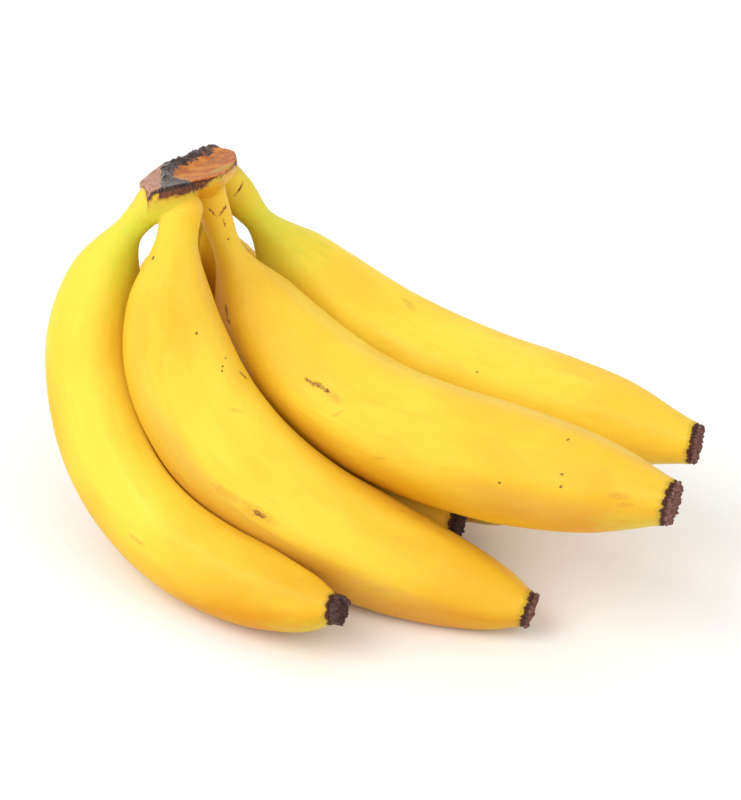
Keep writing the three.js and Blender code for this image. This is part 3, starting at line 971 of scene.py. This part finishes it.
def surface_net(field, low, step):
    """Points and quads on the zero level of a grid of distances."""
    shape = np.array(field.shape) - 1
    total = np.zeros((*shape, 3))
    count = np.zeros(shape)
    corner = np.stack(np.meshgrid(*[np.arange(n) for n in field.shape], indexing="ij"), -1).astype(float)
    quads = []
    number = np.arange(shape.prod()).reshape(shape)
    for axis in range(3):
        first = np.moveaxis(field, axis, 0)[:-1]
        last = np.moveaxis(field, axis, 0)[1:]
        crossed = (first < 0) != (last < 0)
        share = np.where(crossed, first / np.where(crossed, first - last, 1), 0)
        place = np.moveaxis(corner, axis, 0)[:-1].copy()
        place[..., axis] += share
        place *= crossed[..., None]
        sums = np.moveaxis(total, axis, 0)
        counts = np.moveaxis(count, axis, 0)
        wide, deep = crossed.shape[1] - 1, crossed.shape[2] - 1
        for j in range(2):
            for k in range(2):
                sums += place[:, j:j + wide, k:k + deep]
                counts += crossed[:, j:j + wide, k:k + deep]
        cells = np.moveaxis(number, axis, 0)
        inner = np.argwhere(crossed[:, 1:-1, 1:-1])
        i, j, k = inner[:, 0], inner[:, 1] + 1, inner[:, 2] + 1
        quad = np.stack([cells[i, j - 1, k - 1], cells[i, j, k - 1], cells[i, j, k], cells[i, j - 1, k]], -1)
        outward = (first[i, j, k] < 0) != (axis == 1)
        quad[~outward] = quad[~outward][:, ::-1]
        quads.append(quad)
    faces = np.concatenate(quads)
    used, packed = np.unique(faces, return_inverse=True)
    points = total.reshape(-1, 3)[used] / count.reshape(-1)[used][:, None] * step + low
    return points, packed.reshape(-1, 4)


def cut_face_colour(shade, place, ragged, grain):
    """Orange to tan flesh, ochre at its front right and browner towards its back."""
    blotch = shade.noise(place, 0.2, 2.0, 0.5)
    face = shade.mix(shade.ramp(blotch, 0.38, 0.6), tint("cut_orange"), tint("cut_tan"))
    face = shade.paint(face, shade.ramp(grain, 0.5, 0.75, 0.0, 0.25), "cut_grain")
    ochre = shade.blot(place, OCHRE_PLACE, (0, 0), OCHRE_REACH)
    face = shade.paint(face, shade.times(ochre, 0.7), "cut_ochre")
    brown = shade.times(shade.blot(place, BROWN_PLACE, (0, 0), BROWN_REACH), shade.ramp(ragged, 0.4, 0.6))
    return shade.paint(face, shade.times(brown, 0.7), "cut_brown")


def band_colour(shade, fibres, below):
    """Brown fibres round the crown, darker along the lip of the cut."""
    band = shade.mix(shade.ramp(fibres, 0.35, 0.65), tint("band_dark"), tint("band_light"))
    lip = shade.math("ABSOLUTE", shade.math("SUBTRACT", below, 0.7))
    return shade.paint(band, shade.ramp(lip, 0.7, 0.2, 0.0, 0.8), "band_lip")


def facet_colour(shade, fibres, under):
    """Pinkish torn fibres with a dark edge."""
    facet = shade.mix(shade.ramp(fibres, 0.35, 0.65), tint("facet_dark"), tint("facet_light"))
    return shade.paint(facet, shade.ramp(under, -1.6, -0.8, 0.0, 0.85), "facet_edge")


def crown_material():
    """Cut face orange-tan, dried brown band, near-black torn ridge, pinkish torn facet, yellow skin below."""
    shade = Shade("cut_crown")
    skin, skin_rough, skin_normal = skin_shading(shade, FRUITS, NECK_REACH)
    place = shade.attribute("cut_place", "Vector")
    keys = ("below", "past_edge", "off_ridge", "band", "beyond")
    below, past_edge, off, band, beyond = (shade.attribute(key, "Fac") for key in keys)
    ragged = shade.noise(place, 0.5, 4.0, 0.6)
    fibres = shade.noise(shade.scaled(place, (1.1, 1.1, 0.3)), 1.0, 4.0, 0.65)
    grain = shade.noise(place, 1.6, 3.0, 0.6)
    wander = shade.ramp(ragged, 0.3, 0.7, -0.5, 0.5)

    # How far each place lies below the band's lower edge or outside the flap, where the peel starts.
    outside = shade.math("SUBTRACT", beyond, FLAP_REACH)
    under = shade.math("MAXIMUM", shade.math("SUBTRACT", below, band), outside)
    under = shade.plus(under, wander)
    skinned = shade.ramp(under, 0.0, 0.35)
    on_top = shade.ramp(beyond, 1.6, 1.0)
    on_face = shade.times(shade.ramp(shade.plus(below, shade.times(wander, 0.5)), 0.55, 0.35), on_top)
    torn = shade.plus(off, shade.ramp(ragged, 0.3, 0.7, -1.1, 1.1))
    on_ridge = shade.times(shade.times(shade.ramp(torn, 2.7, 2.0), shade.ramp(below, 1.6, 0.9)), on_top)
    on_facet = shade.ramp(shade.plus(past_edge, wander), 0.2, 0.6)
    on_facet = shade.times(on_facet, shade.ramp(under, -0.3, -0.7))

    skin = shade.paint(skin, shade.ramp(under, 6.0, 0.3, 0.0, 0.6), "skin_near_band")
    skin = shade.paint(skin, shade.ramp(under, 1.3, 0.2, 0.0, 0.7), "skin_at_band")
    colour = shade.mix(skinned, band_colour(shade, fibres, shade.plus(below, wander)), skin)
    colour = shade.mix(on_face, colour, cut_face_colour(shade, place, ragged, grain))
    ridge = shade.mix(shade.ramp(grain, 0.4, 0.6), tint("ridge_dark"), tint("ridge_light"))
    colour = shade.mix(on_ridge, colour, ridge)
    colour = shade.mix(on_facet, colour, facet_colour(shade, fibres, under))

    rough = shade.plus(shade.ramp(on_ridge, 0.0, 1.0, 0.5, 0.25), shade.ramp(on_facet, 0.0, 1.0, 0.0, 0.3))
    rough = shade.mix(skinned, rough, skin_rough, "FLOAT")
    worked = shade.times(fibres, shade.ramp(on_face, 0.0, 1.0, 1.0, 0.3))
    worked = shade.bump(worked, 0.45, 0.5, shade.bump(ragged, 0.45, 0.7))
    waxy(shade)
    return shade.surface(colour, rough, shade.mix(skinned, worked, skin_normal, "VECTOR"))


def make_crown():
    middle = cut_plane()[0]
    low = middle - np.array(CROWN_LOW)
    high = middle + np.array(CROWN_HIGH)
    axes = [np.arange(low[i], high[i], CROWN_STEP) for i in range(3)]
    grid = np.stack(np.meshgrid(*axes, indexing="ij"), -1)
    points, faces = surface_net(crown_field(grid), low, CROWN_STEP)
    make_mesh("cut_crown", points, faces.tolist(), crown_layers(points), "crown", crown_material(), "crown")


def floor_material():
    shade = Shade("pale_floor")
    texture = shade.node("TexCoord").outputs["Object"]
    mottle = shade.noise(texture, 6.0, 3.0)
    colour = shade.mix(mottle, tint("floor_dark"), tint("floor_light"))
    shade.put(shade.shader.inputs["Base Color"], colour)
    shade.shader.inputs["Roughness"].default_value = 0.9
    shade.shader.inputs["Specular IOR Level"].default_value = 0.1
    return shade.material


def make_floor():
    mesh = bpy.data.meshes.new("floor")
    reach = FLOOR_REACH
    corners = [(-reach, -reach, 0), (reach, -reach, 0), (reach, reach, 0), (-reach, reach, 0)]
    mesh.from_pydata(corners, [], [(0, 1, 2, 3)])
    mesh.materials.append(floor_material())
    floor = bpy.data.objects.new("floor", mesh)
    bpy.context.scene.collection.objects.link(floor)


def aim(name, data, place, direction):
    """Puts a lamp or camera at a place in metres, pointing in a direction."""
    holder = bpy.data.objects.new(name, data)
    holder.location = place
    holder.rotation_euler = direction.to_track_quat("-Z", "Y").to_euler()
    bpy.context.scene.collection.objects.link(holder)
    return holder


def light_studio():
    world = bpy.data.worlds.new("studio")
    world.use_nodes = True
    background = world.node_tree.nodes["Background"]
    background.inputs["Color"].default_value = (1, 1, 1, 1)
    background.inputs["Strength"].default_value = WORLD_STRENGTH
    bpy.context.scene.world = world
    for name, place, size, power, colour in LAMPS:
        lamp = bpy.data.lights.new(name, "AREA")
        lamp.shape = "DISK"
        lamp.size = size
        lamp.energy = power
        lamp.color = colour
        aim(name, lamp, place, Vector(LAMP_TARGET) - Vector(place))
    bpy.context.scene.view_settings.view_transform = "Standard"


def place_camera():
    down = math.radians(CAMERA_DOWN)
    forward = Vector((0, math.cos(down), -math.sin(down)))
    camera = bpy.data.cameras.new("camera")
    camera.lens = CAMERA_LENS
    camera.sensor_width = 36
    camera.clip_end = 20
    place = (Vector(CAMERA_TARGET) - forward * CAMERA_DISTANCE) * MM
    bpy.context.scene.camera = aim("camera", camera, place, forward)


place_camera()
light_studio()
make_floor()
dried = flower_material()
for index, fruit in enumerate(FRUITS):
    make_fruit(fruit, FRUITS[:index])
    make_flower_end(fruit, dried)
make_crown()
